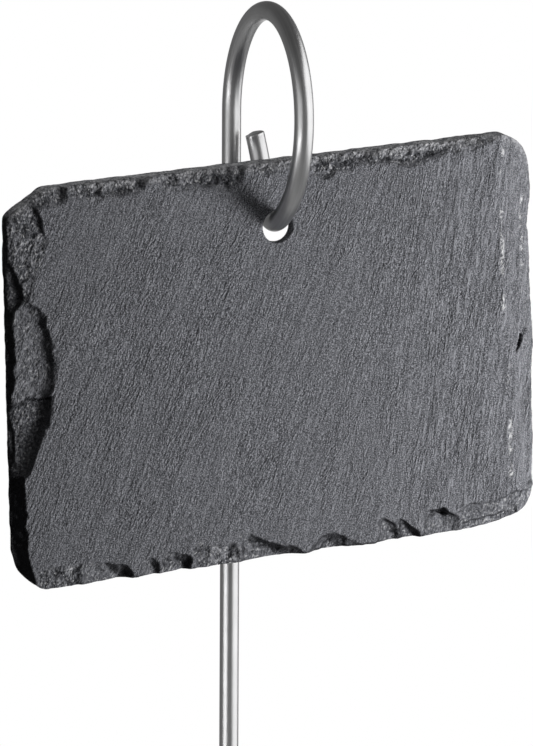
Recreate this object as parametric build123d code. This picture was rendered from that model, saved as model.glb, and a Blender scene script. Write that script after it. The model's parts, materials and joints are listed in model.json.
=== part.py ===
# Plant label stake: a chipped slate tag hung on the ring of a bent wire stake.
# Millimetres. The rod runs along Z, the soil line is at Z = 0 and the front is towards -Y.
from build123d import *
import os

# Wire stake
wire_d = 3.5
stake_h = 300.0
soil_depth = 110.0
tip_length = 5.0
tip_d = 1.4
cut_break = 0.35

# Ring at the top: one flat turn, then an end that steps aside and stands beside the rod
ring_r = 19.05
ring_turn = 231.4
step_r = 17.8
step_twist = 14.3
step_turn = 74.6
return_r = 12.5
return_twist = 28.4
return_turn = 63.0

# Slate tag
tag_w = 104.4
tag_h = 73.7
tag_t = 3.8
rim_t = 0.8
hole_play = 2.5
hole_below_top = 11.9
hole_aside = 0.25

# How the tag hangs on the ring
tag_yaw = 5.2
tag_pitch = 8.0
tag_roll = 5.2
hang_aside = 0.95
hang_ahead = 0.9
hang_drop = 0.25

# Chipped edge, clockwise from the top left seen from the front. Each row places a point of the
# back edge as fractions of the half width and half height, then gives the bevel's width there.
chipped_edge = [
    (-0.85, 1.00, 3.0), (-0.55, 1.00, 2.9), (-0.29, 1.00, 1.7), (-0.05, 1.00, 1.8),
    (0.13, 1.00, 1.3), (0.30, 1.00, 3.1), (0.50, 1.00, 3.2), (0.78, 1.00, 1.2),
    (0.89, 1.00, 3.5), (0.95, 0.93, 5.0), (0.99, 0.83, 6.4), (1.00, 0.66, 7.4),
    (0.985, 0.50, 7.0), (1.00, -0.03, 7.0), (0.99, -0.32, 6.4), (1.00, -0.60, 6.2),
    (0.99, -0.83, 5.4), (0.95, -0.93, 4.6), (0.85, -0.98, 4.2), (0.70, -1.00, 4.4),
    (0.55, -1.00, 5.4), (0.45, -1.00, 2.2), (0.36, -1.00, 4.2), (0.24, -1.00, 2.2),
    (0.08, -1.00, 1.5), (-0.06, -1.00, 3.6), (-0.17, -1.00, 5.2), (-0.34, -1.00, 2.6),
    (-0.54, -1.00, 3.6), (-0.62, -1.00, 2.2), (-0.76, -1.00, 4.6), (-0.91, -1.00, 2.6),
    (-0.985, -0.90, 2.0), (-1.00, -0.78, 2.0), (-1.00, -0.40, 2.0), (-1.00, -0.24, 6.2),
    (-1.00, 0.00, 7.4), (-1.00, 0.34, 7.4), (-1.00, 0.50, 3.2), (-1.00, 0.74, 6.2),
    (-1.00, 0.87, 4.0),
]

ring_z = stake_h - soil_depth - ring_r - wire_d / 2
hole_d = wire_d + hole_play


# A round bend of the wire. The section's X axis points to the bend's centre and its Z axis along the wire.
def bend(section, radius, turn):
    axis = Axis(section.origin + section.x_dir * radius, section.y_dir)
    arc = revolve(section * Circle(wire_d / 2), axis, turn)
    onward = section.location * Pos(radius, 0, 0) * Rot(Y=turn) * Pos(-radius, 0, 0)
    return arc, onward


# Point, straight rod, ring, sideways step and the cut end that stands beside the rod
def make_wire_stake():
    on_end = (Align.CENTER, Align.CENTER, Align.MIN)
    shoulder_z = tip_length - soil_depth
    tip = Pos(0, 0, -soil_depth) * Cone(tip_d / 2, wire_d / 2, tip_length, align=on_end)
    rod = Pos(0, 0, shoulder_z) * Cylinder(wire_d / 2, ring_z - shoulder_z, align=on_end)
    ring_start = Plane(origin=(0, 0, ring_z), x_dir=(0, -1, 0), z_dir=(0, 0, 1))
    ring, place = bend(ring_start, ring_r, ring_turn)
    step, place = bend(Plane(place * Rot(Z=step_twist)), step_r, step_turn)
    back, place = bend(Plane(place * Rot(Z=-return_twist)), return_r, return_turn)
    cut = place * Cone(wire_d / 2, wire_d / 2 - cut_break, cut_break, align=on_end)
    return rod + [tip, ring, step, back, cut]


# Flat back, thin rim, bevel chipped towards the front, one drilled hole
def make_slate_tag():
    back_edge = [Vector(u * tag_w / 2, v * tag_h / 2) for u, v, bevel in chipped_edge]
    front_edge = []
    for i, (u, v, bevel) in enumerate(chipped_edge):
        along = back_edge[(i + 1) % len(back_edge)] - back_edge[i - 1]
        inward = Vector(along.Y, -along.X).normalized()
        front_edge.append(back_edge[i] + inward * bevel)
    outline = Polygon(*back_edge, align=None)
    face = Polygon(*front_edge, align=None)
    blank = loft([outline, Pos(0, 0, rim_t) * outline, Pos(0, 0, tag_t) * face], ruled=True)
    hole_at = Pos(hole_aside, tag_h / 2 - hole_below_top, tag_t / 2)
    drilled = blank - hole_at * Cylinder(hole_d / 2, 2 * tag_t)
    hang = Pos(hang_aside, -ring_r - hang_ahead, ring_z - ring_r - hang_drop)
    turned = Rot(Z=tag_yaw) * Rot(X=90 + tag_pitch) * Rot(Z=tag_roll)
    return hang * turned * hole_at.inverse() * drilled


os.makedirs("parts", exist_ok=True)
nodes = {"wire_stake": make_wire_stake(), "slate_tag": make_slate_tag()}
for name, solid in nodes.items():
    export_step(solid, f"parts/{name}.step")
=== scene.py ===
# Plant label stake, dressed: a chipped slate tag on a bent steel wire. Metres, in the part's own frame.
import json
import math

import bpy
import numpy as np
from mathutils import Matrix, Vector


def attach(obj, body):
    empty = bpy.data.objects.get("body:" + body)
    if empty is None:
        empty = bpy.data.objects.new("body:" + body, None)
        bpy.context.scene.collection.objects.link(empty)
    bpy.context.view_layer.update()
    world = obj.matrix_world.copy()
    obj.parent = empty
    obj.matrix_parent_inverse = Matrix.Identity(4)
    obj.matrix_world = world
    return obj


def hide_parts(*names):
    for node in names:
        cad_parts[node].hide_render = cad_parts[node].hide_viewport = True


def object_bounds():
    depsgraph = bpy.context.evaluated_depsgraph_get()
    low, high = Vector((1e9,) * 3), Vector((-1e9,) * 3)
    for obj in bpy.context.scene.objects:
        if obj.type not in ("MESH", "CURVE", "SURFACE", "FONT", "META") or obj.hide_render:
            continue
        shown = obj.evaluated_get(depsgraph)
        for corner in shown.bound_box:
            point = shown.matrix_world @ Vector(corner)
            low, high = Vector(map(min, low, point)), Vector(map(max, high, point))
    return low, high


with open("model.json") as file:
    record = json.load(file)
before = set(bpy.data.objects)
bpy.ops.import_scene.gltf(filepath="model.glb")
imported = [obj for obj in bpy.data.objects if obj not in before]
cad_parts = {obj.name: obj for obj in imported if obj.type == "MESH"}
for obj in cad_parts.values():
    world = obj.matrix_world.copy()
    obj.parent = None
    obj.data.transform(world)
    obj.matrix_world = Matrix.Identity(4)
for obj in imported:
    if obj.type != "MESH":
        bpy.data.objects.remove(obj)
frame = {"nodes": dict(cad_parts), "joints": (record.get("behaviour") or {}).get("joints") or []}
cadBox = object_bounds()
mm = 0.001
print("frame loaded:", sorted(frame["nodes"]))


def addObject(name, data):
    holder = bpy.data.objects.new(name, data)
    bpy.context.scene.collection.objects.link(holder)
    return holder


# Puts arrays into a mesh object: points (n, 3) in metres, quads (q, 4) and triangles (t, 3)
def meshPiece(name, points, quads, triangles):
    mesh = bpy.data.meshes.new(name)
    corners = np.concatenate([quads.ravel(), triangles.ravel()]).astype(np.int32)
    totals = np.concatenate([np.full(len(quads), 4), np.full(len(triangles), 3)]).astype(np.int32)
    mesh.vertices.add(len(points))
    mesh.vertices.foreach_set("co", points.astype(np.float32).ravel())
    mesh.loops.add(len(corners))
    mesh.loops.foreach_set("vertex_index", corners)
    mesh.polygons.add(len(totals))
    mesh.polygons.foreach_set("loop_start", (np.cumsum(totals) - totals).astype(np.int32))
    mesh.polygons.foreach_set("use_smooth", np.ones(len(totals), bool))
    mesh.update(calc_edges=True)
    mesh.validate()
    return addObject(name, mesh)


# One number or one vector for each point, read in a material by an Attribute node
def pointValue(piece, name, values):
    kind, key = ("FLOAT_VECTOR", "vector") if values.ndim == 2 else ("FLOAT", "value")
    layer = piece.data.attributes.new(name, kind, "POINT")
    layer.data.foreach_set(key, values.astype(np.float32).ravel())


# Distance along a line of points: the running sum of the lengths between them
def travelAlong(line):
    return np.concatenate([[0], np.cumsum(np.linalg.norm(np.diff(line, axis=0), axis=1))])


# Noise for shapes: the lattice's width, each octave's height against the last, and its shift
noise = dict(lattice=256, fade=0.55, shiftX=31, shiftY=17)


# Smooth noise in the plane: a seeded lattice of values, blended with a quintic weight
def smoothNoise(x, y, seed):
    size = noise["lattice"]
    lattice = np.random.default_rng(seed).uniform(-1.0, 1.0, (size, size))
    column = np.floor(x).astype(int)
    row = np.floor(y).astype(int)
    u = x - column
    v = y - row
    u = u * u * u * (u * (u * 6 - 15) + 10)
    v = v * v * v * (v * (v * 6 - 15) + 10)
    left, right = column % size, (column + 1) % size
    near, far = row % size, (row + 1) % size
    nearSide = lattice[left, near] * (1 - u) + lattice[right, near] * u
    farSide = lattice[left, far] * (1 - u) + lattice[right, far] * u
    return nearSide * (1 - v) + farSide * v


# Rough noise: octaves of the smooth noise, each half as wide and about half as high
def roughNoise(x, y, width, octaves, seed):
    total = np.zeros_like(x)
    for octave in range(octaves):
        scale = 2 ** octave / width
        shiftedX = x * scale + noise["shiftX"] * octave
        shiftedY = y * scale + noise["shiftY"] * octave
        total += smoothNoise(shiftedX, shiftedY, seed + octave) * noise["fade"] ** octave
    return total


# Wire stake, in millimetres and degrees. The tip's and the cut's rises and insets are shares of tipRound,
# of the tip's radius and of cutBreak.
wire = dict(
    diameter=3.5, soilDepth=110, height=300,
    tipLength=5, tipDiameter=1.4, tipRound=0.3,
    tipRises=(0, 0, 0.3, 1), tipWidths=(0.4, 0.75, 0.95, 1.05),
    ringRadius=19.05, ringTurn=231.4,
    stepTwist=14.3, stepRadius=17.8, stepTurn=74.6,
    returnTwist=-28.4, returnRadius=12.5, returnTurn=63,
    cutBreak=0.35, cutRises=(0.4, 0.75, 1, 1, 1, 1), cutInsets=(0.1, 0.4, 1, 1.9, 3, 4.2),
    pinchSlope=0.45, pinchStart=0.25, pinchLead=0.4,
    sides=64, arcStep=1.25, rodStep=3,
)


# An arc of the wire: the section's first axis points to the bend's centre and its third along the wire.
# At angle a the line is at radius * ((1 - cos a) first + sin a third), and the axes turn by a about
# the second.
def wireArc(start, axes, twist, radius, turn):
    t = math.radians(twist)
    first = axes[0] * math.cos(t) + axes[1] * math.sin(t)
    second = axes[1] * math.cos(t) - axes[0] * math.sin(t)
    third = axes[2]
    a = np.radians(np.linspace(0, turn, int(turn / wire["arcStep"]) + 1))[:, None]
    line = start + radius * ((1 - np.cos(a)) * first + np.sin(a) * third)
    inward = np.cos(a) * first - np.sin(a) * third
    along = np.cos(a) * third + np.sin(a) * first
    axesThere = np.stack([inward, np.broadcast_to(second, inward.shape), along], axis=1)
    return line, axesThere


# The wire is a circle carried along its centre line: tip cone, rod, ring, sideways step, return, cut end.
# The circle's start angle is turned back by each twist, so that its grid runs straight along the wire.
def makeWire():
    radius = wire["diameter"] / 2
    ringZ = wire["height"] - wire["soilDepth"] - wire["ringRadius"] - radius
    axes = np.array([[0.0, -1.0, 0.0], [1.0, 0.0, 0.0], [0.0, 0.0, 1.0]])

    shoulder = wire["tipLength"] - wire["soilDepth"]
    tipRadius = wire["tipDiameter"] / 2
    tipZ = np.append(np.array(wire["tipRises"]) * wire["tipRound"], wire["tipLength"] / 2)
    tipR = np.append(np.array(wire["tipWidths"]) * tipRadius, (tipRadius + radius) / 2)
    rodZ = np.linspace(shoulder, ringZ, int((ringZ - shoulder) / wire["rodStep"]) + 1)
    rodHeights = np.concatenate([tipZ - wire["soilDepth"], rodZ])
    rod = np.stack([0 * rodHeights, 0 * rodHeights, rodHeights], axis=1)

    stretches = []

    # A stretch of the wire: its points, and at each the axes, the twist so far and the radius
    def addStretch(points, axesThere, twist, radii):
        count = len(points)
        axesThere = np.broadcast_to(axesThere, (count, 3, 3))
        stretches.append((points, axesThere, np.full(count, twist), np.broadcast_to(radii, count)))

    addStretch(rod, axes, 0.0, np.append(tipR, np.full(len(rodZ), radius)))
    place, turned = rod[-1], 0.0
    for bend, twist in (("ring", 0.0), ("step", wire["stepTwist"]), ("return", wire["returnTwist"])):
        line, axesThere = wireArc(place, axes, twist, wire[bend + "Radius"], wire[bend + "Turn"])
        turned += math.radians(twist)
        addStretch(line[1:], axesThere[1:], turned, radius)
        place, axes = line[-1], axesThere[-1]

    # The shear cut: a broken edge, then the end face in shrinking circles
    endStep = np.array(wire["cutRises"]) * wire["cutBreak"]
    endRadius = radius - wire["cutBreak"] * np.array(wire["cutInsets"])
    addStretch(place + endStep[:, None] * axes[2], axes, turned, endRadius)

    line, frameAxes, offset, size = (np.concatenate(values) for values in zip(*stretches))
    size = size[:, None]
    evenTurns = np.arange(wire["sides"]) / wire["sides"] * 2 * math.pi
    around = (evenTurns - offset[:, None])[..., None]
    rim = np.cos(around) * frameAxes[:, None, 0] + np.sin(around) * frameAxes[:, None, 1]
    points = line[:, None] + size[..., None] * rim
    # The cutter's jaw leaves the end's outer side lower, by a slope from the pinch line
    last = len(endStep)
    side = -(points[-last:] - place) @ axes[1] / radius
    drop = wire["pinchSlope"] * radius * np.clip(side - wire["pinchStart"], 0, None)
    lead = np.linspace(wire["pinchLead"], 1, last)[:, None, None]
    points[-last:] -= drop[..., None] * axes[2] * lead

    rings, sides = points.shape[:2]
    grid = np.arange(rings * sides).reshape(rings, sides)
    onward = np.roll(grid, -1, axis=1)
    quads = np.stack([grid[:-1], onward[:-1], onward[1:], grid[1:]], axis=-1).reshape(-1, 4)
    poles = np.stack([points[0].mean(axis=0), points[-1].mean(axis=0)])
    foot = np.full(sides, rings * sides)
    caps = np.concatenate([
        np.stack([onward[0], grid[0], foot], axis=-1),
        np.stack([grid[-1], onward[-1], foot + 1], axis=-1),
    ])
    piece = meshPiece("bentWire", np.concatenate([points.reshape(-1, 3), poles]) * mm, quads, caps)

    # Millimetres along the wire and across its section, for the drawing lines
    travel = travelAlong(line)
    along = np.repeat(travel[:, None], sides, axis=1)
    drawn = np.stack([along, size * np.cos(evenTurns), size * np.sin(evenTurns)], axis=-1)
    ends = [[0, 0, 0], [travel[-1], 0, 0]]
    pointValue(piece, "drawn", np.concatenate([drawn.reshape(-1, 3), ends]))
    return piece


# Slate tag, in millimetres and degrees. The values from spokes to rimSteps lay out the mesh's rings, and
# those from arris on shape the stone, its painted shade and its painted light along the top.
slate = dict(
    thickness=3.8, leastThickness=0.5, holeDiameter=6, roll=5.2,
    spokes=1280, smoothing=(1, 2, 3),
    borderReach=8.6, borderShare=0.6, middleReach=12, middleShare=0.4, innerShare=0.55,
    borderRings=40, middleRings=16, innerRings=14, holeRings=14, holeCurve=1.6,
    backBorder=(0, 0.03, 0.1, 0.3, 0.6, 1), backMiddle=(0.33, 0.66, 1),
    backInner=(0.2, 0.4, 0.6, 0.8, 1), backHole=(0.25, 0.5, 0.7, 0.85, 0.95, 1),
    holeSteps=(0.04, 0.15, 0.35, 0.65, 0.85, 0.96), rimSteps=(0.2, 0.4, 0.6, 0.8),
    arris=0.5, arrisWidth=0.7, arrisWander=0.5, arrisCurve=1.5, arrisSpare=0.7,
    arrisRough=0.15, arrisGrit=0.6, arrisPaintedShade=0.4, belowPaintedShade=0.5,
    warp=0.32, fineWarp=0.12, blend=0.4, fallSoft=0.05, fadeStart=0.3, fadeShare=0.4, brokenDepth=0.3,
    pitAxis=(0.8, 0.6), layer=0.42, layerEdge=2.2, layering=0.3,
    ripple=0.05, rippleAxis=(0.94, 0.34), rippleStretch=0.4,
    ragged=0.06, raggedBias=0.6, rimRagged=0.16, rimRaggedBias=0.6, rimStretch=3, rimGrit=0.8,
    paintedShadeLeftBelow=(0.97, 0.6), paintedShadeRightAbove=(0.2, 0), steepFrom=0.35, steepRange=0.6,
    backHollow=0.18, backWear=0.25, backWearReach=0.9, breakOut=2.3, breakOutReach=3.4, breakOutWander=0.4,
    breakOutAbove=0.45, breakOutBelow=0.55, breakOutCurve=1.3, paintedTopReach=1.6, bruiseWidth=0.4,
)

# Width, octaves and seed of each noise. Further octaves take the seeds that follow.
slateNoises = dict(
    warpX=(2.6, 2, 1), fineWarpX=(0.8, 2, 5), warpY=(2.6, 2, 9), fineWarpY=(0.8, 2, 13),
    arris=(4, 2, 21), pits=(1.7, 4, 25), ripple=(6, 3, 33), edge=(2.4, 3, 40), rim=(1.6, 3, 71),
    backHollow=(9, 4, 61), backWear=(3, 3, 67), breakOut=(4, 2, 77),
)

# Outline of the back, seen from the front, clockwise from the top left corner's cut.
# Millimetres to the right of the hole and above it.
slateOutline = [
    (-52.3, 7.4), (-44.6, 11.8), (46.3, 11.85), (49.3, 9.8), (50.8, 7.7), (51.6, 5.6), (51.9, 0.2),
    (51.2, -5.3), (51.5, -11), (51.85, -26.2), (51.6, -36.5), (51.85, -46), (51.42, -54.6),
    (50.25, -58.2), (48.3, -59.8), (44.2, -61), (39.5, -61.6), (-47.5, -61.7), (-49.3, -60.1),
    (-51.3, -58), (-52.3, -54.2),
]

# Chips. Each corner is (right, up, depth below the face) and may end with a riser width of its own.
# Corners past the outline close the shape. riser is the width of the break's slope, hollow how much that
# slope flattens at its foot, fall how much deeper it gets towards the outline, rough the height of its
# pits, grit how broken its surface looks and dark the painted shade on its steep parts.
slateChips = [
    # top left corner
    dict(riser=0.8, hollow=1, fall=0.9, rough=0.2, grit=1, dark=0.4, corners=[
        (-40.6, 13.5, 1.4, 1.8), (-40.4, 10, 1, 1.8), (-41.6, 8.8, 0.4, 1.4), (-44.5, 8.4, 0.4, 1.4),
        (-46.8, 8.5, 0.4, 1), (-49, 7.5, 0.5), (-54, 13.5, 1.2)]),
    dict(riser=0.35, hollow=1, fall=0.7, rough=0.17, grit=1, dark=0.8, corners=[
        (-47, 9.8, 0.5), (-46.7, 8, 0.5), (-46, 6.4, 0.8), (-45.6, 4.8, 0.6), (-44.9, 2.7, 0.1),
        (-45.2, 0, 0.1, 2.6), (-46.2, -3, 0.1, 3), (-47.3, -5, 0.1, 3), (-47.6, -8, 0.2, 2.4),
        (-48.4, -11, 0.3, 2), (-56, -11, 0.6), (-56, 8, 0.9), (-50, 14, 0.9)]),
    # left side, from the top down
    dict(riser=0.9, hollow=1, fall=0.5, rough=0.1, grit=0.8, dark=0.9, corners=[
        (-52.3, -0.8, 0.9), (-51.3, -2, 1.3), (-50.3, -5, 1.9), (-49.6, -7, 1.9), (-50, -8.6, 1.4),
        (-51, -10.5, 1.2), (-57, -10.5, 1.8), (-57, -1, 1.6)]),
    dict(riser=2.2, hollow=2, fall=0, rough=0.14, grit=0.55, dark=0.7, corners=[
        (-50.3, -7.6, 1), (-49.3, -8, 0.9), (-47.4, -9.2, 1), (-45.3, -11.5, 1.2), (-44.7, -15, 1.3),
        (-44.2, -20, 1.3), (-44.4, -23, 1.3), (-45.4, -26, 1.2), (-47, -29, 1.2), (-57, -29, 1.2),
        (-57, -7.6, 1.1)]),
    dict(riser=1.1, hollow=0.3, fall=0, rough=0.1, grit=0.5, dark=0.95, corners=[
        (-51.6, -9, 2.3), (-51.1, -12, 2.6), (-51.1, -17, 2.7), (-51, -22, 2.7), (-51.4, -25.5, 2.5),
        (-57, -26.5, 3), (-57, -9, 3)]),
    dict(riser=0.3, hollow=0.5, fall=0, rough=0.05, grit=0.8, dark=0.95, corners=[
        (-45.2, -26, 1.9), (-47.2, -26.4, 1.9), (-49.2, -26.2, 1.9), (-50.8, -26.5, 1.9),
        (-50.8, -27, 1.9), (-49.2, -26.8, 1.9), (-47.2, -27, 1.9), (-45.2, -26.6, 1.9)]),
    dict(riser=1.5, hollow=2, fall=1, rough=0.22, grit=1, dark=0.7, corners=[
        (-45.3, -26.4, 1.4), (-45.2, -29, 1.6), (-45.3, -31.5, 1.6), (-46.4, -32.8, 1.4),
        (-47.4, -35.5, 1.4), (-48.6, -38, 1.4), (-50.2, -40.6, 1.6), (-57, -41.5, 2), (-57, -26.4, 1.5)]),
    dict(riser=0.7, hollow=1, fall=0.3, rough=0.12, grit=0.8, dark=0.95, corners=[
        (-52, -29, 2.5), (-50.8, -33, 2.7), (-51.3, -37, 2.8), (-52, -39.5, 2.6), (-57, -39.5, 3),
        (-57, -29, 2.8)]),
    dict(riser=1.8, hollow=0.3, fall=0, rough=0.1, grit=0.5, dark=0.98, corners=[
        (-50.3, -39.6, 2.9), (-50.5, -43, 2.9), (-50.3, -50, 2.9), (-50.2, -54, 2.9), (-49.9, -57, 2.9),
        (-49.2, -59.5, 2.8), (-47.6, -62.5, 2.4), (-50, -68, 2.8), (-60, -60, 3), (-60, -39.6, 3)]),
    # bottom, from the left
    dict(riser=2.2, hollow=0.4, fall=0.2, rough=0.24, grit=1, dark=0.6, corners=[
        (-49.4, -57.6, 0.5), (-47, -56.8, 0.3), (-43, -57.1, 0.4), (-40, -56.9, 0.45), (-39.5, -58, 0.9),
        (-38, -66, 1.2), (-50, -66, 1.2)]),
    dict(riser=2.2, hollow=0.4, fall=0.2, rough=0.14, grit=0.7, dark=0.85, corners=[
        (-40, -56.6, 0.1), (-38, -57.2, 0.6), (-36, -57.8, 1.2), (-33.5, -58.6, 2), (-31.4, -59.2, 2.4),
        (-30.2, -60.2, 2.2), (-29.5, -62.5, 1.8), (-30, -68, 1.8), (-40.5, -68, 0.6),
        (-40.5, -60, 0.2, 2), (-40.5, -58.2, 0.1, 2)]),
    dict(riser=1.6, hollow=0.8, fall=0.2, rough=0.14, grit=0.6, dark=0.85, corners=[
        (-27.9, -57.8, 0.1), (-26.2, -58.3, 0.9), (-25, -59.2, 1.6), (-24, -60.6, 1.6), (-23, -68, 1.6),
        (-29, -68, 0.6), (-28.5, -60, 0.1, 1.8), (-28.2, -58.8, 0.1, 1.8)]),
    dict(riser=1.9, hollow=0.5, fall=0.2, rough=0.2, grit=0.8, dark=0.85, corners=[
        (-24.5, -57.1, 0.2), (-22.5, -57.6, 0.9), (-21, -58.1, 1.6), (-18.6, -59.2, 2.2), (-17.8, -61, 2),
        (-17.6, -68, 1.8), (-25, -68, 0.8), (-25, -60, 0.2, 1.8), (-24.9, -58.4, 0.1, 1.8)]),
    dict(riser=1.3, hollow=0.6, fall=0.3, rough=0.3, grit=1, dark=0.3, corners=[
        (-18.2, -57.4, 0.3), (-17.6, -56.4, 0.4), (-16.3, -56.5, 0.5), (-12, -57.3, 0.7),
        (-8.7, -57.8, 0.6), (-8.2, -58.6, 0.6), (-7.5, -68, 1.4), (-18.4, -68, 1.1)]),
    dict(riser=2.4, hollow=0.4, fall=0.2, rough=0.16, grit=0.7, dark=0.88, corners=[
        (-9, -55.4, 0.1), (-8, -55.7, 0.7), (-6.4, -56.4, 1.4), (-5, -57.2, 2.2), (-3, -58.2, 2.6),
        (-0.5, -59.1, 2.4), (2.4, -59.9, 1.8), (4.2, -61.2, 1.2), (4, -68, 1.6), (-5, -68, 1.8),
        (-9, -68, 0.8), (-9.3, -59.5, 0.2, 2), (-9.3, -57.4, 0.1, 2)]),
    dict(riser=2.4, hollow=0.2, fall=0.2, rough=0.2, grit=0.7, dark=0.85, corners=[
        (4.6, -60.2, 0.6), (6.4, -59.7, 1), (8.2, -58.9, 2), (9.6, -58.4, 2.4), (11.4, -58.8, 2.2),
        (13.4, -59.7, 1.8), (15, -60.6, 1.4), (16.4, -62, 1.2), (16, -68, 1.6), (5, -68, 1.6)]),
    dict(riser=1.5, hollow=0.8, fall=0.3, rough=0.16, grit=0.7, dark=0.9, corners=[
        (18.5, -57.5, 0.1), (19.6, -56.8, 0.5), (20.8, -57, 1.4), (22, -58, 1.9), (23.2, -59.4, 1.7),
        (24.2, -61.5, 1.3), (24, -68, 1.4), (18.5, -68, 0.8), (18.5, -59.5, 0.1, 2.5),
        (18.5, -58.3, 0.1, 2.5)]),
    dict(riser=1.4, hollow=0.6, fall=0.3, rough=0.16, grit=0.7, dark=0.92, corners=[
        (22.4, -57.6, 0.1), (23.4, -57.4, 0.7), (24.6, -58, 2), (26, -59, 2.4), (27.4, -60, 2.2),
        (28.2, -62, 1.6), (27.5, -68, 1.8), (22.5, -68, 0.6), (22.4, -60, 0.1, 2),
        (22.4, -58.6, 0.1, 2)]),
    dict(riser=1.8, hollow=0.3, fall=0.2, rough=0.08, grit=0.5, dark=0.95, corners=[
        (26.9, -57, 0, 2.5), (28.2, -56.6, 0.2), (29.6, -56.6, 0.9), (31, -56.5, 1.9), (32.4, -56.4, 2.6),
        (33.6, -57.2, 2.6), (34.8, -58, 1.6), (36.2, -58.8, 0.7), (37, -60, 0.5), (36.5, -68, 0.9),
        (32, -68, 1), (27, -68, 0.4), (26.9, -60.4, 0.1, 2.5), (26.9, -59.2, 0, 2.5),
        (26.9, -58.1, 0, 2.5)]),
    dict(riser=1.1, hollow=0, fall=0, rough=0.05, grit=0.5, dark=0.95, corners=[
        (28.9, -56.7, 1.8), (30.8, -56.5, 2.6), (32.6, -56.4, 3), (34.9, -58.1, 2.6), (32.6, -58.8, 2.4),
        (30.8, -57.9, 2.2)]),
    dict(riser=0.9, hollow=0.6, fall=0.5, rough=0.1, grit=0.7, dark=0.6, corners=[
        (35.2, -57.6, 0.4), (36.8, -56.7, 0.6), (38.5, -56.3, 0.7), (41, -56.2, 0.6), (45, -55.8, 0.5),
        (47.5, -55.2, 0.5), (49.2, -54.4, 0.7), (56, -54, 1.6), (52, -68, 1.9), (35, -68, 1.2)]),
    dict(riser=0.8, hollow=0.6, fall=0.4, rough=0.16, grit=0.8, dark=0.85, corners=[
        (36, -59.9, 0.9), (38, -59.2, 1.3), (40.6, -59.3, 1.5), (43.6, -58.8, 1.2), (46.4, -57.6, 1.1),
        (48, -57.6, 1.3), (50, -64, 1.8), (42, -68, 1.9), (36, -68, 1.4)]),
    # right side
    dict(riser=6.8, hollow=0, fall=0.2, rough=0.06, grit=0.2, dark=0, corners=[
        (46, 13.5, 1.6), (44.6, 9.5, 1.9), (44.5, 3, 2.1), (44.4, -4, 2.2), (44.6, -12, 2.2),
        (44.7, -20, 2.2), (45.4, -24.5, 2.1), (46.6, -28, 1.9), (46.6, -36, 2), (46.6, -46, 2),
        (47, -54, 2), (47.8, -56.5, 2), (60, -60, 2.4), (60, 13.5, 2.4)]),
    dict(riser=1.6, hollow=1, fall=0.3, rough=0.05, grit=0.15, dark=0, corners=[
        (49.4, 2, 1.6), (48.3, -3, 1.7), (47.4, -9, 1.6), (46.2, -14, 1.1), (45.6, -18, 1),
        (46, -22, 1.1), (47.2, -25, 1.5), (49, -26.5, 2), (60, -28, 2.4), (60, 2, 2.4)]),
    dict(riser=2.6, hollow=0.6, fall=0.3, rough=0.05, grit=0.15, dark=0, corners=[
        (49.3, -27, 1.7), (48.3, -31, 1.7), (47.6, -38, 1.8), (47.7, -46, 1.8), (48, -52, 1.8),
        (48.8, -55.5, 1.8), (60, -56, 2.4), (60, -27, 2.4)]),
    dict(riser=0.3, hollow=1, fall=0, rough=0.02, grit=0.5, dark=0.9, corners=[
        (48.4, -25.4, 1.2), (49.2, -26, 2.4), (48.5, -28.3, 2.4), (47.6, -29.5, 1.4)]),
    # top, from the left
    dict(riser=1.5, hollow=0.6, fall=0.5, rough=0.4, grit=1, dark=0.4, corners=[
        (-41, 13.5, 1.6), (-40.5, 9.8, 0.8), (-38, 9.2, 0.7), (-36.5, 8.4, 0.9), (-34.6, 8.3, 0.9),
        (-33.5, 9.2, 0.5), (-31.5, 8.6, 0.7), (-29, 8.9, 0.6), (-26, 9.6, 0.4), (-23, 13.5, 1.6)]),
    dict(riser=2.2, hollow=0.4, fall=0.5, rough=0.36, grit=1, dark=0.4, corners=[
        (-24.5, 13.5, 1.6), (-23.5, 9.6, 0.6), (-21, 8.8, 0.4), (-17, 8.3, 0.5), (-13, 8.2, 0.5),
        (-10, 7.8, 0.8), (-7.5, 8.2, 0.6), (-6, 9.8, 0.4), (-5, 13.5, 1.6)]),
    dict(riser=1.8, hollow=0.4, fall=0.4, rough=0.28, grit=0.9, dark=0.3, corners=[
        (-6.5, 13.5, 1.4), (-5, 9.8, 0.3), (0, 9.4, 0.3), (4, 9.6, 0.3), (8, 13.5, 1.4)]),
    dict(riser=1.4, hollow=0.6, fall=0, rough=0.4, grit=1, dark=0.2, corners=[
        (6.5, 13.5, 1.4), (7, 8.9, 0.8), (8.6, 7.9, 0.9), (10.4, 7.8, 0.9), (12, 8.6, 0.6),
        (14.5, 8.4, 0.8), (16, 9.4, 0.5), (18.5, 9, 0.6), (21, 9.3, 0.5), (22.5, 8.9, 0.7),
        (24, 8.1, 0.8), (28.3, 7.9, 0.9), (29.5, 8.8, 0.9), (32, 8.9, 0.9), (34, 9.8, 0.7),
        (36, 9.3, 0.6), (39.5, 10, 0.6), (43, 10.2, 0.7), (46, 13.5, 1.4)]),
]

# Crushed, whitish lines along the right side's break, from the top down
slateBruises = [
    [(45.4, 9.6), (44.9, 6.4), (44.7, 1.4), (44.9, -3), (45, -8), (44.8, -14), (45.1, -20),
     (45.7, -28), (45.9, -36), (46.1, -46), (46.2, -52)],
    [(50.2, 6), (49.9, 1), (49.6, -6), (49.8, -13)],
]


def slateNoise(x, y, name):
    return roughNoise(x, y, *slateNoises[name])


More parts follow.
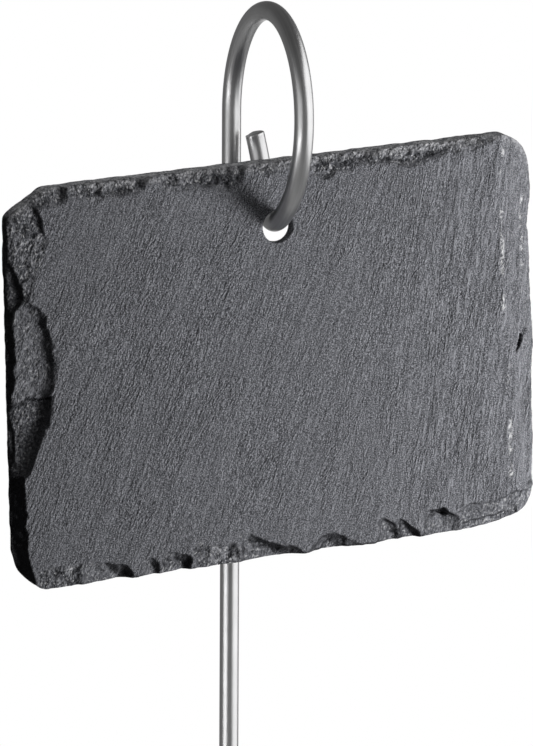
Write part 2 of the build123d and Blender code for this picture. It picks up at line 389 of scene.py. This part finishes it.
# The outline resampled at even steps, rounded by a short moving average and made ragged inwards by noise,
# with the direction inwards
def slateEdge():
    corners = np.array(slateOutline + slateOutline[:1])
    travel = travelAlong(corners)
    even = np.arange(slate["spokes"]) / slate["spokes"] * travel[-1]
    edge = np.stack([np.interp(even, travel, corners[:, k]) for k in (0, 1)], axis=1)
    for step in slate["smoothing"]:
        edge = (np.roll(edge, step, axis=0) + edge + np.roll(edge, -step, axis=0)) / 3
    along = np.roll(edge, -1, axis=0) - np.roll(edge, 1, axis=0)
    inward = np.stack([along[:, 1], -along[:, 0]], axis=1) / np.linalg.norm(along, axis=1)[:, None]
    bite = slateNoise(*edge.T, "edge")
    ragged = slate["ragged"] * np.clip(bite + slate["raggedBias"], 0, None)
    return edge + inward * ragged[:, None], inward


# Distance to an open line of points: the least distance to any of its pieces
def distanceToLine(x, y, line):
    nearest = np.full(x.shape, np.inf)
    for (ax, ay), (bx, by) in zip(line, line[1:]):
        dx, dy = bx - ax, by - ay
        share = np.clip(((x - ax) * dx + (y - ay) * dy) / (dx * dx + dy * dy), 0, 1)
        nearest = np.minimum(nearest, np.hypot(x - ax - share * dx, y - ay - share * dy))
    return nearest


# Distance inside a polygon, negative outside: to the nearest side, signed by crossings of a level line
def depthInside(x, y, corners):
    closed = np.concatenate([corners, corners[:1]])
    inside = np.zeros(x.shape, bool)
    for (ax, ay), (bx, by) in zip(closed, closed[1:]):
        if ay != by:
            inside ^= ((ay > y) != (by > y)) & (x < ax + (y - ay) * (bx - ax) / (by - ay))
    nearest = distanceToLine(x, y, closed)
    return np.where(inside, nearest, -nearest)


# Height of the front over the back plane. The face is thickness high with a faint ripple. Each chip takes
# depth * slope(distance inside / riser) off it, where depth and riser are blended from the chip's corners
# by nearness, and the deepest chip counts. The arris falls away at the outline, and the broken stone is
# pitted and stepped in thin layers. Also gives how broken the surface is and the painted shade of its
# steep parts.
def slateFront(x, y, toEdge, facingUp):
    wx = x + slate["warp"] * slateNoise(x, y, "warpX") + slate["fineWarp"] * slateNoise(x, y, "fineWarpX")
    wy = y + slate["warp"] * slateNoise(x, y, "warpY") + slate["fineWarp"] * slateNoise(x, y, "fineWarpY")
    bite, grit, rough = np.zeros((3, len(x)))
    # Painted shade: a base share on the arris, with more where the surface faces down
    dark = slate["arrisPaintedShade"] + slate["belowPaintedShade"] * np.clip(-facingUp, 0, 1)
    for chip in slateChips:
        corners = np.array([(*corner, chip["riser"])[:4] for corner in chip["corners"]])
        inside = depthInside(wx, wy, corners[:, :2])
        apart = (x - corners[:, 0, None]) ** 2 + (y - corners[:, 1, None]) ** 2
        nearness = 1 / (apart + slate["blend"])
        depth, riser = corners[:, 2:].T @ nearness / nearness.sum(axis=0)
        within = np.clip(inside, 0, None)
        depth = depth + chip["fall"] * within / (within + toEdge + slate["fallSoft"])
        slope = 1 - (1 - np.clip(inside / riser, 0, 1)) ** (1 + chip["hollow"])
        cut = depth * slope
        deeper = cut > bite
        soft = np.clip(inside / (slate["fadeStart"] + slate["fadeShare"] * riser), 0, 1)
        rough = np.where(deeper, chip["rough"] * soft, rough)
        dark = np.where(deeper, chip["dark"], dark)
        grit = np.where(deeper, chip["grit"] * soft, grit)
        bite = np.maximum(bite, cut)
    wander = 1 + slate["arrisWander"] * slateNoise(x, y, "arris")
    arrisLine = np.clip(1 - toEdge / (slate["arrisWidth"] * wander), 0, 1)
    spared = np.clip(bite + np.clip(facingUp, 0, 1), 0, 1)
    bite = bite + slate["arris"] * arrisLine ** slate["arrisCurve"] * (1 - slate["arrisSpare"] * spared)
    rough = np.maximum(rough, slate["arrisRough"] * arrisLine)
    grit = np.maximum(grit, slate["arrisGrit"] * arrisLine)
    px, py = slate["pitAxis"]
    bite += rough * slateNoise(px * x + py * y, px * y - py * x, "pits")
    broken = np.clip(bite / slate["brokenDepth"], 0, 1) * grit
    layers = bite / slate["layer"]
    stepped = slate["layer"] * (np.floor(layers) + np.clip(layers % 1 * slate["layerEdge"], 0, 1))
    bite = bite + broken * slate["layering"] * (stepped - bite)
    rx, ry = slate["rippleAxis"]
    alongGrain = (x * ry + y * rx) * slate["rippleStretch"]
    ripple = slate["ripple"] * slateNoise(x * rx - y * ry, alongGrain, "ripple")
    bite = np.clip(bite, 0, slate["thickness"] - slate["leastThickness"])
    height = slate["thickness"] - bite - np.abs(ripple) * (1 - broken)
    return height, grit, dark


# Height of the back over its plane: shallow hollows, wear towards the outline, and stone broken out round
# the hole, which falls off over a wandering reach and is deeper below the hole than above it
def slateBack(x, y, toEdge, fromHole, upwards):
    hollow = slate["backHollow"] * np.clip(slateNoise(x, y, "backHollow"), 0, None)
    wear = slate["backWear"] * np.clip(1 - toEdge / slate["backWearReach"], 0, 1) ** 2
    wear = wear * (1 + slateNoise(x, y, "backWear"))
    reach = slate["breakOutReach"] * (1 + slate["breakOutWander"] * slateNoise(x, y, "breakOut"))
    below = 0.5 - 0.5 * upwards
    spall = slate["breakOut"] * (slate["breakOutAbove"] + slate["breakOutBelow"] * below)
    spall = spall * np.clip(1 - fromHole / reach, 0, 1) ** slate["breakOutCurve"]
    return np.maximum(hollow + wear, spall)


# The tag is closed rings carried from the hole over the back, round the rim, over the front and down the
# hole. A ring's points lie on straight spokes from the outline to the hole, and rings nearer the hole use
# every second, fourth or eighth spoke, joined by rows of triangles. A ring holds its points in the slate's
# plane, their heights, how broken they are, their painted shade and their painted light along the top.
def makeTag():
    edge, inward = slateEdge()
    fromCentre = np.linalg.norm(edge, axis=1)
    direction = edge / fromCentre[:, None]
    holeRadius = slate["holeDiameter"] / 2
    spoke = fromCentre - holeRadius
    zone0 = np.minimum(slate["borderReach"], slate["borderShare"] * spoke)
    zone1 = zone0 + np.minimum(slate["middleReach"], slate["middleShare"] * (spoke - zone0))
    zone2 = zone1 + slate["innerShare"] * (spoke - zone1)
    zones = [(1, 0 * spoke, zone0), (2, zone0, zone1), (4, zone1, zone2), (8, zone2, spoke)]

    # Inset of each ring from the outline along the spokes, with the step between the spokes that it keeps
    def ringInsets(*shares):
        return [(every, start + (end - start) * s)
                for (every, start, end), share in zip(zones, shares) for s in share]

    def evenShares(count):
        return np.linspace(0, 1, count + 1)[1:]

    insets = ringInsets(
        np.linspace(0, 1, slate["borderRings"]), evenShares(slate["middleRings"]),
        evenShares(slate["innerRings"]), 1 - (1 - evenShares(slate["holeRings"])) ** slate["holeCurve"])
    backInsets = ringInsets(
        slate["backBorder"], slate["backMiddle"], slate["backInner"], slate["backHole"])

    rings = []
    for every, inset in reversed(backInsets):
        flat = (edge - direction * inset[:, None])[::every]
        fromHole = np.linalg.norm(flat, axis=1) - holeRadius
        height = slateBack(*flat.T, inset[::every], fromHole, direction[::every, 1])
        rings.append((flat, height, *[0 * height] * 3))
    front = []
    atTop = np.clip(-inward[:, 1], 0, 1)
    towardsEdge = np.abs((direction * inward).sum(axis=1))
    for every, inset in insets:
        flat = (edge - direction * inset[:, None])[::every]
        # Painted light: the top edge paler near the outline
        paintedTopLight = atTop * np.clip(1 - inset * towardsEdge / slate["paintedTopReach"], 0, 1)
        height, grit, dark = slateFront(*flat.T, inset[::every], -inward[::every, 1])
        front.append((flat, height, grit, dark, paintedTopLight[::every]))

    # Steepness over the border rings, across and along them, turned into painted shade on steep breaks
    border = slate["borderRings"]
    places = np.stack([ring[0] for ring in front[:border]])
    heights = np.stack([ring[1] for ring in front[:border]])
    across = np.gradient(heights, axis=0) / np.linalg.norm(np.gradient(places, axis=0), axis=2)
    along = np.roll(heights, -1, axis=1) - np.roll(heights, 1, axis=1)
    along /= np.linalg.norm(np.roll(places, -1, axis=1) - np.roll(places, 1, axis=1), axis=2)
    steep = np.clip((np.hypot(across, along) - slate["steepFrom"]) / slate["steepRange"], 0, 1)
    front = [(flat, height, grit, dark * (steep[k] if k < border else 0), paintedTopLight)
             for k, (flat, height, grit, dark, paintedTopLight) in enumerate(front)]

    # The rim: painted shade to the left and below, a little on the right, none above, and painted light
    # along the top
    low, high = rings[-1][1], front[0][1]
    rimPaintedShade = np.where(inward > 0, slate["paintedShadeLeftBelow"], slate["paintedShadeRightAbove"]) * inward ** 2
    for s in slate["rimSteps"]:
        wall = low + (high - low) * s
        bite = slateNoise(edge[:, 0] + edge[:, 1], wall * slate["rimStretch"], "rim")
        ragged = slate["rimRagged"] * (bite - slate["rimRaggedBias"])
        flat = edge + direction * np.minimum(ragged, 0)[:, None]
        rings.append((flat, wall, 0 * wall + slate["rimGrit"], rimPaintedShade.sum(axis=1), atTop))
    rings += front
    top, bottom = rings[-1], rings[0]
    for s in slate["holeSteps"]:
        wall = top[1] + (bottom[1] - top[1]) * s
        rings.append((top[0], wall, *[0 * wall] * 3))

    ends = np.cumsum([len(ring[0]) for ring in rings])
    numbers = np.split(np.arange(ends[-1]), ends[:-1])
    quads, triangles = [], []
    for a, b in zip(numbers, numbers[1:] + numbers[:1]):
        a2, b2 = np.roll(a, -1), np.roll(b, -1)
        if len(a) == len(b):
            quads.append(np.stack([a, b, b2, a2], axis=1))
        elif len(a) > len(b):
            even, odd, after = a[::2], a[1::2], np.roll(a[::2], -1)
            triangles += [np.stack(t, axis=1) for t in ((even, b, odd), (odd, b, b2), (odd, b2, after))]
        else:
            even, odd, after = b[::2], b[1::2], np.roll(b[::2], -1)
            triangles += [np.stack(t, axis=1) for t in ((a, even, odd), (a, odd, a2), (a2, odd, after))]

    flat, height, grit, dark, paintedTopLight = (np.concatenate(values) for values in zip(*rings))
    height = height - slate["thickness"] / 2
    points = np.column_stack([flat, height]) @ tagAxes * mm + tagPivot
    piece = meshPiece("chippedSlate", points, np.concatenate(quads), np.concatenate(triangles))
    fromLine = np.minimum(*[distanceToLine(*flat.T, line) for line in slateBruises])
    bruise = np.where(height > 0, np.exp(-(fromLine / slate["bruiseWidth"]) ** 2), 0)
    for name, values in dict(grit=grit, dark=dark, paintedTopLight=paintedTopLight, bruise=bruise).items():
        pointValue(piece, name, values)
    return piece


# The tag's axes, from the hinge: right and up in the slate's plane, and out of its front
tagJoint = frame["joints"][0]
tagPivot = np.array(tagJoint["pos_m"])
tagFront = np.array(tagJoint["axis"])
levelRight = np.cross([0, 0, 1], tagFront)
levelRight /= np.linalg.norm(levelRight)
levelUp = np.cross(tagFront, levelRight)
rollCos, rollSin = math.cos(math.radians(slate["roll"])), math.sin(math.radians(slate["roll"]))
tagRight = levelRight * rollCos + levelUp * rollSin
tagUp = levelUp * rollCos - levelRight * rollSin
tagAxes = np.stack([tagRight, tagUp, tagFront])

bentWire = makeWire()
print("wire:", len(bentWire.data.polygons), "faces")
chippedSlate = makeTag()
print("slate:", len(chippedSlate.data.polygons), "faces")


noiseRoughness = 0.6


# Node helpers. Inputs that are sockets are linked, and other inputs are set on the node.
def addNode(tree, kind, inputs=None, **settings):
    node = tree.nodes.new(kind)
    for key, value in settings.items():
        setattr(node, key, value)
    for key, value in (inputs or {}).items():
        if isinstance(value, bpy.types.NodeSocket):
            tree.links.new(value, node.inputs[key])
        else:
            node.inputs[key].default_value = value
    return node


def mathNode(tree, operation, a, b=0.0):
    return addNode(tree, "ShaderNodeMath", {0: a, 1: b}, operation=operation).outputs[0]


def vectorNode(tree, operation, a, b=(0, 0, 0)):
    return addNode(tree, "ShaderNodeVectorMath", {0: a, 1: b}, operation=operation).outputs


# A value taken from one range to another and held inside it
def rangeNode(tree, value, low, high, newLow=0.0, newHigh=1.0):
    inputs = {"Value": value, "From Min": low, "From Max": high, "To Min": newLow, "To Max": newHigh}
    return addNode(tree, "ShaderNodeMapRange", inputs).outputs["Result"]


def noiseNode(tree, vector, scale, detail):
    inputs = {"Vector": vector, "Scale": scale, "Detail": detail, "Roughness": noiseRoughness}
    return addNode(tree, "ShaderNodeTexNoise", inputs).outputs[0]


# Colours at marked places of a value's range, blended between them
def rampNode(tree, value, places, *colours):
    node = addNode(tree, "ShaderNodeValToRGB", {"Fac": value})
    elements = node.color_ramp.elements
    for _ in places[2:]:
        elements.new(0.5)
    for element, place, colour in zip(elements, places, colours):
        element.position = place
        element.color = (*colour, 1)
    return node.outputs["Color"]


def mixValues(tree, share, a, b):
    return addNode(tree, "ShaderNodeMix", {"Factor": share, "A": a, "B": b}).outputs["Result"]


def mixColours(tree, share, a, b):
    inputs = {"Factor": share, "A": a, "B": b}
    return addNode(tree, "ShaderNodeMix", inputs, data_type="RGBA").outputs["Result"]


def newMaterial(name):
    material = bpy.data.materials.new(name)
    material.use_nodes = True
    return material, material.node_tree, material.node_tree.nodes["Principled BSDF"]


# Noise drawn out along a direction: coordinates in millimetres are turned about the third axis,
# then divided by the streak's length and width
def makeStreakGroup():
    group = bpy.data.node_groups.new("drawnOutNoise", "ShaderNodeTree")
    for name, kind in (("Vector", "NodeSocketVector"), ("Angle", "NodeSocketFloat"),
                       ("Stretch", "NodeSocketVector"), ("Detail", "NodeSocketFloat")):
        group.interface.new_socket(name, in_out="INPUT", socket_type=kind)
    group.interface.new_socket("Value", in_out="OUTPUT", socket_type="NodeSocketFloat")
    source = group.nodes.new("NodeGroupInput").outputs
    sink = group.nodes.new("NodeGroupOutput")
    inputs = {"Vector": source["Vector"], "Angle": source["Angle"]}
    turned = addNode(group, "ShaderNodeVectorRotate", inputs, rotation_type="Z_AXIS").outputs[0]
    stretched = vectorNode(group, "MULTIPLY", turned, source["Stretch"])[0]
    group.links.new(noiseNode(group, stretched, 1.0, source["Detail"]), sink.inputs["Value"])
    return group


def streaks(tree, vector, angle, length, width, detail):
    node = tree.nodes.new("ShaderNodeGroup")
    node.node_tree = streakGroup
    tree.links.new(vector, node.inputs["Vector"])
    node.inputs["Angle"].default_value = -math.radians(angle)
    node.inputs["Stretch"].default_value = (1 / length, 1 / width, 1 / width)
    node.inputs["Detail"].default_value = detail
    return node.outputs["Value"]


streakGroup = makeStreakGroup()

# Slate's look, in millimetres and degrees. A grain is its lean off the main grain, length and width. Marks
# place a ramp's colours. A range is where something sets in, and of four numbers the last two are what it
# goes from and to.
slateFinish = dict(
    stone=(0.138, 0.141, 0.154), dark=(0.058, 0.059, 0.065), pale=(0.285, 0.289, 0.313),
    gritDark=(0.062, 0.063, 0.069), gritPale=(0.29, 0.293, 0.312),
    paintedShadeColour=(0.014, 0.014, 0.016), crushed=(0.62, 0.62, 0.63), paintedTopPale=(0.5, 0.5, 0.515),
    fleckMarks=(0.25, 0.5, 0.75), gritMarks=(0.36, 0.5, 0.64), paintedTopMarks=(0.36, 0.62),
    grainLeft=68, grainRight=81, grainTurn=(-5, 35), leanRight=1 / 3,
    fineGrain=(0, 3, 0.5), speckGrain=(0, 0.5, 0.29), bandGrain=(4, 8, 1.4), waveGrain=(6, 24, 4.5),
    ridgeGrain=(12, 6, 1.1), patchGrain=(8, 16, 7),
    fleckSize=0.215, gritSize=0.45, flakeSize=1.1, blotchSize=1.8,
    crushedSize=3.2, crushedRange=(0.45, 0.57), crumbSize=0.5, crumbRange=(0.42, 0.56),
    glintSize=0.5, glintRange=(0.62, 0.72, 0, 0.6), glintDark=(0, 0.5, 1, 0),
    patchStrength=(0.35, 0.65, 0.65, 1.3), middle=25, calm=(12, 32, 1.05, 0.7),
    ridgeRange=(0, 0.03, 1, 0), ridgePatch=(0.45, 0.6), crestRange=(0.58, 0.74), crestPaintedHighlight=0.38,
    speckRelief=0.25, grainRelief=0.17, bandRelief=0.3, waveRelief=0.45, ridgeRelief=0.18,
    leftRelief=0.75, rightRelief=1.6, gritRelief=0.34, flakeRelief=0.32,
    roughness=(0.3, 0.7, 0.76, 0.56), shine=(0, 1, 0.06, 0.02),
)


# Slate: a cleft face with fine slanting grain that stands steeper to the right, with painted highlights on
# its crests, and gritty broken stone, with near-black painted shade on steep breaks, painted glints, and
# white where it was crushed
def makeSlateMaterial():
    material, tree, shader = newMaterial("cleftSlate")
    look = slateFinish
    spot = addNode(tree, "ShaderNodeTexCoord").outputs["Object"]
    turn = Matrix(tagAxes.T.tolist()).to_euler("XYZ")
    placing = {"Vector": spot, "Location": tagPivot.tolist(), "Rotation": turn, "Scale": (mm, mm, mm)}
    local = addNode(tree, "ShaderNodeMapping", placing, vector_type="TEXTURE").outputs[0]
    parts = addNode(tree, "ShaderNodeSeparateXYZ", {0: local}).outputs
    toRight = rangeNode(tree, parts["X"], *look["grainTurn"])
    grit, dark, bruise, paintedTopLight = (
        addNode(tree, "ShaderNodeAttribute", attribute_name=name).outputs["Fac"]
        for name in ("grit", "dark", "bruise", "paintedTopLight"))

    # Grain at its left and its right angle, blended by place
    def grain(name, detail=1.0):
        lean, length, width = look[name]
        left = streaks(tree, local, look["grainLeft"] - lean, length, width, detail)
        right = streaks(tree, local, look["grainRight"] - lean * look["leanRight"], length, width, detail)
        return mixValues(tree, toRight, left, right)

    def spots(size, detail):
        return noiseNode(tree, local, 1 / look[size], detail)

    def ranged(value, name):
        return rangeNode(tree, value, *look[name])

    def times(a, b):
        return mathNode(tree, "MULTIPLY", a, b)

    def plus(a, b):
        return mathNode(tree, "ADD", a, b)

    fine = grain("fineGrain", 0.0)
    speck = grain("speckGrain", 0.0)
    band = grain("bandGrain")
    wave = grain("waveGrain")
    patch = grain("patchGrain")
    fleck = spots("fleckSize", 0.0)
    crumb = spots("gritSize", 1.0)
    blotch = spots("blotchSize", 2.0)
    cells = {"Vector": local, "Scale": 1 / look["flakeSize"]}
    flake = addNode(tree, "ShaderNodeTexVoronoi", cells).outputs["Distance"]

    # Thin ridges where one noise crosses its middle, and relief and a painted crest highlight that grow to
    # the right
    offRidge = mathNode(tree, "ABSOLUTE", mathNode(tree, "SUBTRACT", grain("ridgeGrain"), 0.5))
    ridge = times(ranged(offRidge, "ridgeRange"), ranged(patch, "ridgePatch"))
    rightMore = rangeNode(tree, toRight, 0.0, 1.0, look["leftRelief"], look["rightRelief"])

    # Colour: flecks and painted highlights on crests of the face, crumbs and blotches on broken stone,
    # painted light on the top edge, then painted shade on steep breaks, the crushed places and painted
    # glints
    face = rampNode(tree, fleck, look["fleckMarks"], look["dark"], look["stone"], look["pale"])
    # Painted highlight: pale crests on ridges and fine grain, stronger to the right
    crestHighlight = mathNode(tree, "MAXIMUM", ridge, ranged(fine, "crestRange"))
    face = mixColours(tree, times(times(crestHighlight, rightMore), look["crestPaintedHighlight"]), face, (*look["pale"], 1))
    mixed = mixValues(tree, 0.5, crumb, blotch)
    broken = rampNode(tree, mixed, look["gritMarks"], look["gritDark"], look["stone"], look["gritPale"])
    stone = mixColours(tree, grit, face, broken)
    # Painted light: the top edge paled towards a light tone
    paintedTopTone = rampNode(tree, mixed, look["paintedTopMarks"], look["stone"], look["paintedTopPale"])
    stone = mixColours(tree, paintedTopLight, stone, paintedTopTone)
    # Painted shade: steep breaks darkened towards near black
    stone = mixColours(tree, dark, stone, (*look["paintedShadeColour"], 1))
    crushed = ranged(spots("crushedSize", 2.0), "crushedRange")
    crumbs = ranged(spots("crumbSize", 2.0), "crumbRange")
    # Painted glints: bright specks on broken stone, kept out of the painted shade
    glints = ranged(spots("glintSize", 0.0), "glintRange")
    glints = times(times(glints, ranged(dark, "glintDark")), grit)
    white = mathNode(tree, "MAXIMUM", times(bruise, times(crushed, crumbs)), glints)
    stone = mixColours(tree, white, stone, (*look["crushed"], 1))
    tree.links.new(stone, shader.inputs["Base Color"])
    tree.links.new(ranged(fleck, "roughness"), shader.inputs["Roughness"])
    dull = mathNode(tree, "MAXIMUM", grit, dark)
    tree.links.new(ranged(dull, "shine"), shader.inputs["Specular IOR Level"])

    # Relief in millimetres: specks and grain, calmer near the top and the bottom, then bands, waves and
    # ridges, and on broken stone crumbs and flakes
    offMiddle = mathNode(tree, "ABSOLUTE", plus(parts["Y"], look["middle"]))
    strength = times(ranged(patch, "patchStrength"), ranged(offMiddle, "calm"))
    relief = times(plus(times(speck, look["speckRelief"]), times(fine, look["grainRelief"])), strength)
    for value, height in ((band, "bandRelief"), (wave, "waveRelief"), (ridge, "ridgeRelief")):
        relief = plus(relief, times(times(value, look[height]), rightMore))
    rough = mathNode(tree, "SUBTRACT", times(crumb, look["gritRelief"]), times(flake, look["flakeRelief"]))
    heights = {"Height": plus(relief, times(rough, grit)), "Distance": mm}
    tree.links.new(addNode(tree, "ShaderNodeBump", heights).outputs[0], shader.inputs["Normal"])
    return material


# Steel's look, in millimetres. toneMarks place the dark and the light, and roughness is a range as above.
steelFinish = dict(
    light=(0.52, 0.52, 0.522), dark=(0.42, 0.42, 0.422), toneMarks=(0.35, 0.65),
    lineLength=30, lineWidth=0.28, lineRelief=0.007,
    cloudSize=6, cloudShare=0.4, roughness=(0.3, 0.7, 0.29, 0.39),
)


# Drawn steel wire: fine lines along the wire from the drawing die over a cloudy satin
def makeSteelMaterial():
    material, tree, shader = newMaterial("drawnSteel")
    look = steelFinish
    spot = addNode(tree, "ShaderNodeTexCoord").outputs["Object"]
    drawn = addNode(tree, "ShaderNodeAttribute", attribute_name="drawn").outputs["Vector"]
    lines = streaks(tree, drawn, 0.0, look["lineLength"], look["lineWidth"], 2.0)
    cloud = noiseNode(tree, spot, 1 / (look["cloudSize"] * mm), 2.0)
    tone = mixValues(tree, look["cloudShare"], lines, cloud)
    colour = rampNode(tree, tone, look["toneMarks"], look["dark"], look["light"])
    tree.links.new(colour, shader.inputs["Base Color"])
    tree.links.new(rangeNode(tree, lines, *look["roughness"]), shader.inputs["Roughness"])
    shader.inputs["Metallic"].default_value = 1.0
    heights = {"Height": lines, "Distance": look["lineRelief"] * mm}
    tree.links.new(addNode(tree, "ShaderNodeBump", heights).outputs[0], shader.inputs["Normal"])
    return material


chippedSlate.data.materials.append(makeSlateMaterial())
bentWire.data.materials.append(makeSteelMaterial())
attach(bentWire, "stake")
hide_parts("wire_stake")
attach(chippedSlate, "tag")
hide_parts("slate_tag")
print("materials and bodies set")

# Studio, in metres. The camera sees the floor white by floorWhite up to shadowRadius, and wholly from
# fadeRadius on.
studio = dict(
    floorRadius=20, floorRings=40, floorSides=96, floorFirst=0.02, floorColour=0.7, floorRoughness=0.9,
    shadowRadius=0.03, fadeRadius=0.6, floorWhite=0.75,
    backdropTurn=160, backdropHalf=8, backdropBlur=0.02, roomDim=0.2, ceilingDim=0.1, ceilingSlope=0.7,
    ambient=0.015, aimDrop=0.02,
)
# Each lamp stands off the slate's middle and faces it, or the point facing. Lamps with shine=False light
# matt surfaces only, and cards with matt=False only show in reflections.
lamps = [
    dict(name="keySoftbox", azimuth=60.4, elevation=-17.7, distance=0.37, width=0.22, height=0.24,
         radiance=15.1, facing=(0.1945, -0.0354, 0.3845), shine=False),
    dict(name="rightCard", azimuth=62, elevation=12, distance=0.5, width=0.9, height=0.84,
         radiance=1.9, matt=False),
    dict(name="leftCard", azimuth=-67, elevation=10, distance=0.8, width=0.8, height=0.42,
         radiance=0.9, matt=False),
    dict(name="lowCard", azimuth=-69, elevation=-16, distance=0.8, width=0.6, height=0.14,
         radiance=7.4, matt=False),
    dict(name="overhead", azimuth=-20, elevation=80, distance=0.36, width=0.34, height=0.3,
         radiance=1.5, shine=False),
    dict(name="backFill", azimuth=165, elevation=-12, distance=0.4, width=0.4, height=0.2,
         radiance=3.5, shine=False),
]


# A unit direction from the stake: azimuth 0 is the front, 90 the right
def towards(azimuth, elevation):
    a, e = math.radians(azimuth), math.radians(elevation)
    return Vector((math.sin(a) * math.cos(e), -math.cos(a) * math.cos(e), math.sin(e)))


# Share of white for a ray: all of it for the camera, times far. Reflections see white where the backdrop
# stands behind the stake, and a dimmer room round it, darkest above.
def backdropShare(tree, direction, far=1.0):
    path = addNode(tree, "ShaderNodeLightPath").outputs
    unit = vectorNode(tree, "NORMALIZE", direction)[0]
    behind = towards(studio["backdropTurn"], 0)
    facing = vectorNode(tree, "DOT_PRODUCT", unit, behind)["Value"]
    edge = math.cos(math.radians(studio["backdropHalf"]))
    height = addNode(tree, "ShaderNodeSeparateXYZ", {0: unit}).outputs["Z"]
    room = rangeNode(tree, height, 0.0, studio["ceilingSlope"], studio["roomDim"], studio["ceilingDim"])
    seen = rangeNode(tree, facing, edge - studio["backdropBlur"], edge, room, 1.0)
    mirrored = mathNode(tree, "MAXIMUM", path["Is Glossy Ray"], path["Is Transmission Ray"])
    direct = mathNode(tree, "MULTIPLY", path["Is Camera Ray"], far)
    return mathNode(tree, "MAXIMUM", direct, mathNode(tree, "MULTIPLY", mirrored, seen))


def makeWorld():
    world = bpy.data.worlds.new("studioAir")
    bpy.context.scene.world = world
    world.use_nodes = True
    tree = world.node_tree
    background = tree.nodes["Background"]
    direction = addNode(tree, "ShaderNodeTexCoord").outputs["Generated"]
    strength = rangeNode(tree, backdropShare(tree, direction), 0, 1, studio["ambient"], 1.0)
    background.inputs["Color"].default_value = (1, 1, 1, 1)
    tree.links.new(strength, background.inputs["Strength"])


# The floor is a disc: radius along one parameter, turn along the other
def makeFloor(level):
    radii = studio["floorRadius"] * np.linspace(studio["floorFirst"], 1, studio["floorRings"]) ** 2
    turns = np.arange(studio["floorSides"]) / studio["floorSides"] * 2 * math.pi
    rim = np.stack([np.cos(turns), np.sin(turns), 0 * turns], axis=1)
    points = (radii[:, None, None] * rim).reshape(-1, 3)
    grid = np.arange(len(points)).reshape(len(radii), len(turns))
    onward = np.roll(grid, -1, axis=1)
    quads = np.stack([grid[:-1], grid[1:], onward[1:], onward[:-1]], axis=-1).reshape(-1, 4)
    middle = np.full(len(turns), len(points))
    fan = np.stack([grid[0], onward[0], middle], axis=1)
    floor = meshPiece("floor", np.concatenate([points, [[0, 0, 0]]]) + [0, 0, level], quads, fan)
    material, tree, shader = newMaterial("paleFloor")
    shader.inputs["Base Color"].default_value = (studio["floorColour"],) * 3 + (1,)
    shader.inputs["Roughness"].default_value = studio["floorRoughness"]
    spot = addNode(tree, "ShaderNodeTexCoord").outputs["Object"]
    away = vectorNode(tree, "LENGTH", spot)["Value"]
    far = rangeNode(tree, away, studio["shadowRadius"], studio["fadeRadius"], studio["floorWhite"], 1.0)
    white = backdropShare(tree, spot, far)
    glow = addNode(tree, "ShaderNodeEmission", {"Color": (1, 1, 1, 1), "Strength": 1.0}).outputs[0]
    mix = addNode(tree, "ShaderNodeMixShader", {"Fac": white, 1: shader.outputs[0], 2: glow}).outputs[0]
    tree.links.new(mix, tree.nodes["Material Output"].inputs["Surface"])
    floor.data.materials.append(material)


# A lamp's power: radiance * pi * width * height
def makeLamp(lamp, aim):
    light = bpy.data.lights.new(lamp["name"], "AREA")
    light.shape = "RECTANGLE"
    light.size = lamp["width"]
    light.size_y = lamp["height"]
    light.energy = lamp["radiance"] * math.pi * lamp["width"] * lamp["height"]
    holder = addObject(lamp["name"], light)
    holder.location = aim + towards(lamp["azimuth"], lamp["elevation"]) * lamp["distance"]
    away = holder.location - Vector(lamp.get("facing", aim))
    holder.rotation_euler = away.to_track_quat("Z", "Y").to_euler()
    holder.visible_camera = False
    holder.visible_diffuse = lamp.get("matt", True)
    holder.visible_glossy = lamp.get("shine", True)


# The photo's camera, fitted to the ring, the rod and the slate's outline
camera = dict(
    azimuth=-20.01, elevation=4.7, roll=0.274, distance=1.4545, lens=386.06, sensor=36,
    aim=(0.00485, -0.00591, 0.12188), clipStart=0.05, clipEnd=100,
)


# back points from the aim to the camera, and the picture is rolled about it
def makeCamera():
    back = towards(camera["azimuth"], camera["elevation"])
    right = towards(camera["azimuth"] + 90, 0)
    up = back.cross(right)
    roll = math.radians(camera["roll"])
    tilted = right * math.cos(roll) + up * math.sin(roll)
    axes = Matrix((tilted, back.cross(tilted), back)).transposed().to_4x4()
    data = bpy.data.cameras.new("photoCamera")
    data.lens = camera["lens"]
    data.sensor_width = camera["sensor"]
    data.clip_start, data.clip_end = camera["clipStart"], camera["clipEnd"]
    holder = addObject("photoCamera", data)
    holder.matrix_world = Matrix.Translation(Vector(camera["aim"]) + back * camera["distance"]) @ axes
    bpy.context.scene.camera = holder


makeWorld()
makeFloor(cadBox[0].z)
for lamp in lamps:
    makeLamp(lamp, Vector(tagPivot) + Vector((0, 0, -studio["aimDrop"])))
makeCamera()
bpy.context.scene.view_settings.view_transform = "Standard"
print("studio ready")
